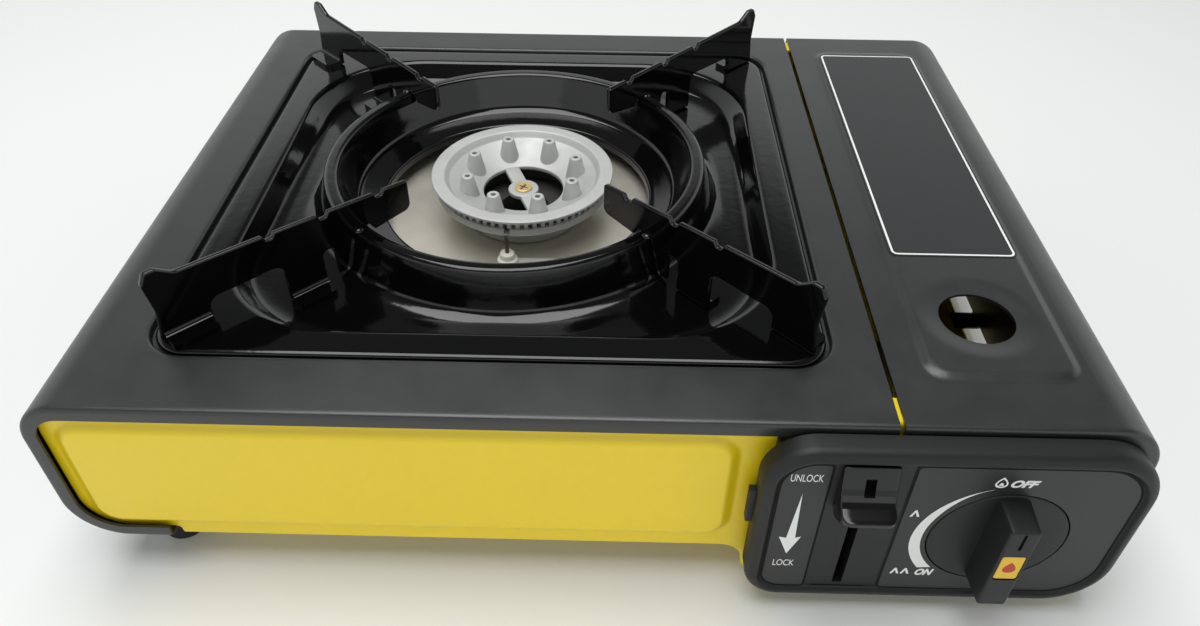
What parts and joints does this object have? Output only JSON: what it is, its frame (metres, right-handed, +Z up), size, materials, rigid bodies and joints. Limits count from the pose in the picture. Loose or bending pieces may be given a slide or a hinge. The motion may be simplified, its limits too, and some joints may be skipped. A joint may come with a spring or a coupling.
{
  "type": "portable gas stove",
  "caption": "Portable single-burner gas stove with a lidded cartridge bay, turning gas knob, lock lever and an enamelled drip tray with pan supports.",
  "frame": {"origin": "on the table under the middle of the whole outline, knob included", "axes": "+X to the cartridge side, +Y to the rear, +Z up"},
  "size_m": [0.344, 0.285, 0.1083],
  "materials": {
    "powder_black": "matte, finely textured powder coat",
    "enamel_black": "high-gloss vitreous enamel",
    "yellow_paint": "semi-gloss paint",
    "panel_black": "satin moulded plastic",
    "lever_black": "gloss moulded plastic",
    "label_film": "satin printed film",
    "insert_yellow": "gloss printed plastic",
    "cast_aluminium": "fine cast, satin",
    "bright_steel": "bright rolled steel",
    "zinc_steel": "bright zinc plate",
    "valve_alloy": "die cast, dull",
    "brass": "satin",
    "rubber_black": "matte",
    "ceramic_white": "glazed ceramic",
    "igniter_body": "moulded plastic",
    "wire_sleeve": "silicone sleeve"
  },
  "bodies": {
    "stove": {"chassis": "yellow_paint", "top_cover": "powder_black", "lid_hinge_pins": "zinc_steel", "control_panel": "panel_black", "panel_screws": "zinc_steel", "lock_label": "label_film", "knob_label": "label_film", "slide_guide": "zinc_steel", "partition": "zinc_steel", "gas_valve": "valve_alloy", "valve_screws": "zinc_steel", "inlet_seal": "rubber_black", "gas_nozzle": "brass", "mixing_tube": "zinc_steel", "igniter": "igniter_body", "ignition_wire": "wire_sleeve", "electrode_insulator": "ceramic_white", "electrode_rod": "zinc_steel", "electrode_clip": "bright_steel", "burner_base": "cast_aluminium", "burner_head": "cast_aluminium", "burner_screw": "brass", "reflector_plate": "bright_steel", "burner_bracket": "zinc_steel", "bracket_screws": "zinc_steel", "foot_front_left": "rubber_black", "foot_front_right": "rubber_black", "foot_rear_left": "rubber_black", "foot_rear_right": "rubber_black"},
    "lid": {"lid": "powder_black", "lid_label": "label_film"},
    "knob": {"knob": "panel_black", "knob_insert": "insert_yellow", "knob_shaft": "zinc_steel"},
    "lever": {"lock_lever": "lever_black", "lever_slide": "zinc_steel"},
    "clamp": {"canister_clamp": "zinc_steel"},
    "tray": {"tray": "enamel_black", "pan_support_front_left": "enamel_black", "pan_support_front_right": "enamel_black", "pan_support_rear_left": "enamel_black", "pan_support_rear_right": "enamel_black"}
  },
  "joints": [
    {"name": "lid_hinge", "type": "hinge", "parent": "stove", "child": "lid", "pos_m": [0.168, 0.01, 0.01], "axis": [0, 1, 0], "range_deg": [0, 90]},
    {"name": "knob_turn", "type": "hinge", "parent": "stove", "child": "knob", "pos_m": [0.1284, -0.13, 0.041], "axis": [0, -1, 0], "range_deg": [0, 140]},
    {"name": "lever_slide", "type": "slide", "parent": "stove", "child": "lever", "axis": [0, 0, -1], "range_m": [0, 0.034]},
    {"name": "clamp_slide", "type": "slide", "parent": "stove", "child": "clamp", "axis": [0, -1, 0], "range_m": [0, 0.008]},
    {"name": "tray_lift", "type": "slide", "parent": "stove", "child": "tray", "axis": [0, 0, 1], "range_m": [0, 0.06]}
  ],
  "couplings": [
    {"joint": "clamp_slide", "follows": "lever_slide", "ratio": 0.2352}
  ]
}
